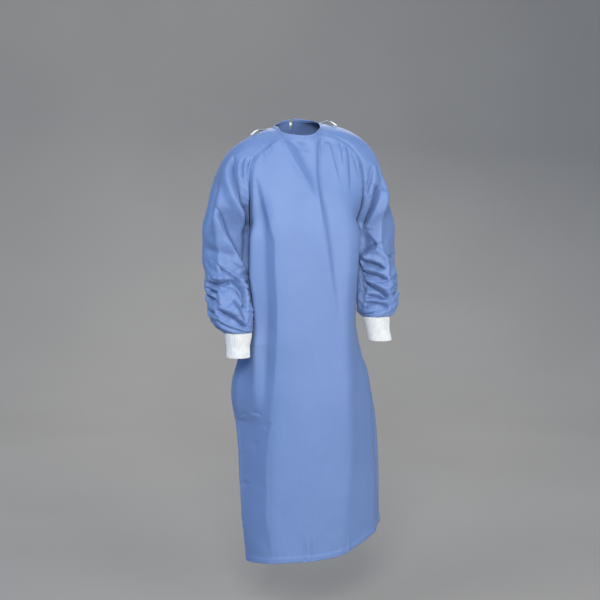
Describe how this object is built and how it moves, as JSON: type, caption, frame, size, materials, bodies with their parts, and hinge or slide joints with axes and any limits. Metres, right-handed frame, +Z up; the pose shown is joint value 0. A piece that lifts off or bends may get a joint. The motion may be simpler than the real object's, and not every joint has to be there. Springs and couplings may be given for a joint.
{
  "type": "surgical gown",
  "caption": "Long surgical gown in its worn shape, with raglan sleeves gathered into knit cuffs, a bound neckline, a lapped back opening and tape ties.",
  "frame": {"origin": "middle of the neck opening at the height of its side points, where the wearer's shoulders carry the gown", "axes": "+Z up, the wearer faces -Y, +X to the wearer's left"},
  "size_m": [0.5657, 0.3084, 1.2576],
  "materials": {
    "gown_cloth": "matt close-woven cloth with a faint sheen",
    "white_knit": "ribbed knit",
    "tie_tape": "woven tape"
  },
  "bodies": {
    "root": {"front": "gown_cloth", "back_left": "gown_cloth", "back_right": "gown_cloth", "sleeve_left": "gown_cloth", "sleeve_right": "gown_cloth", "cuff_left": "white_knit", "cuff_right": "white_knit", "neck_binding": "gown_cloth", "neck_tie_left": "tie_tape", "neck_tie_right": "tie_tape", "neck_knot": "tie_tape", "waist_tie_left": "tie_tape", "waist_tie_right": "tie_tape", "waist_knot": "tie_tape", "waist_tie_end_left": "tie_tape", "waist_tie_end_right": "tie_tape"}
  },
  "joints": []
}
